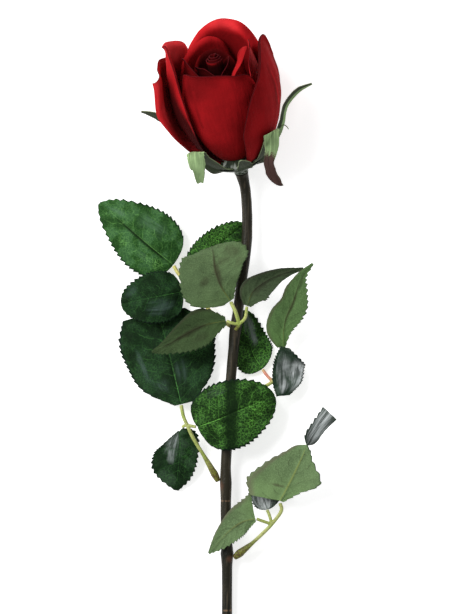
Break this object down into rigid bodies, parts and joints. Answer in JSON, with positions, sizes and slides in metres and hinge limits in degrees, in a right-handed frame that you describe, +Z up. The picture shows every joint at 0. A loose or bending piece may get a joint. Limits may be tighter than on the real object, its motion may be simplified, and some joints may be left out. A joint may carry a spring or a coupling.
{
  "type": "silk rose bud on a long leafy stem",
  "caption": "Long-stemmed silk rose bud: overlapping fabric petals round a closed heart, a calyx with drooping sepals, toothed leaflets on forked stalks and a slim stem, lying down.",
  "frame": {"origin": "middle of the rose's outline, on the surface it lies on", "axes": "+Y along the stem towards the bud, +X to the right as the picture shows it, +Z up from the surface"},
  "size_m": [0.1072, 0.2988, 0.0527],
  "materials": {
    "petal": "matt satin weave, deep red",
    "heart": "rolled satin, dark red",
    "leaf": "printed fabric, dark green with a silvery sheen above and pale grey green below",
    "calyx": "soft pale green to brown",
    "stem": "moulded, brown green",
    "stalk": "moulded, yellow green"
  },
  "bodies": {
    "root": {"stem": "stem", "stalk_upper_front": "stalk", "stalk_upper_back": "stalk", "stalk_right": "stalk", "stalk_left": "stalk", "stalk_lower_right": "stalk", "calyx": "calyx", "heart": "heart", "petal_left_outer": "petal", "petal_right": "petal", "petal_back_outer": "petal", "petal_left": "petal", "petal_back": "petal", "petal_front": "petal", "petal_right_inner": "petal", "petal_back_inner": "petal", "petal_left_inner": "petal", "petal_flap": "petal", "petal_core_back": "petal", "petal_core_left": "petal", "petal_core_right": "petal", "leaf_upper_front_terminal": "leaf", "leaf_upper_front_left": "leaf", "leaf_upper_front_right": "leaf", "leaf_upper_back_terminal": "leaf", "leaf_upper_back_right": "leaf", "leaf_upper_back_left": "leaf", "leaf_right_terminal": "leaf", "leaf_right_inner": "leaf", "leaf_right_outer": "leaf", "leaf_left_terminal": "leaf", "leaf_left_outer": "leaf", "leaf_left_inner": "leaf", "leaf_lower_right_terminal": "leaf", "leaf_lower_right_left": "leaf", "leaf_lower_right_inner": "leaf"}
  },
  "joints": []
}
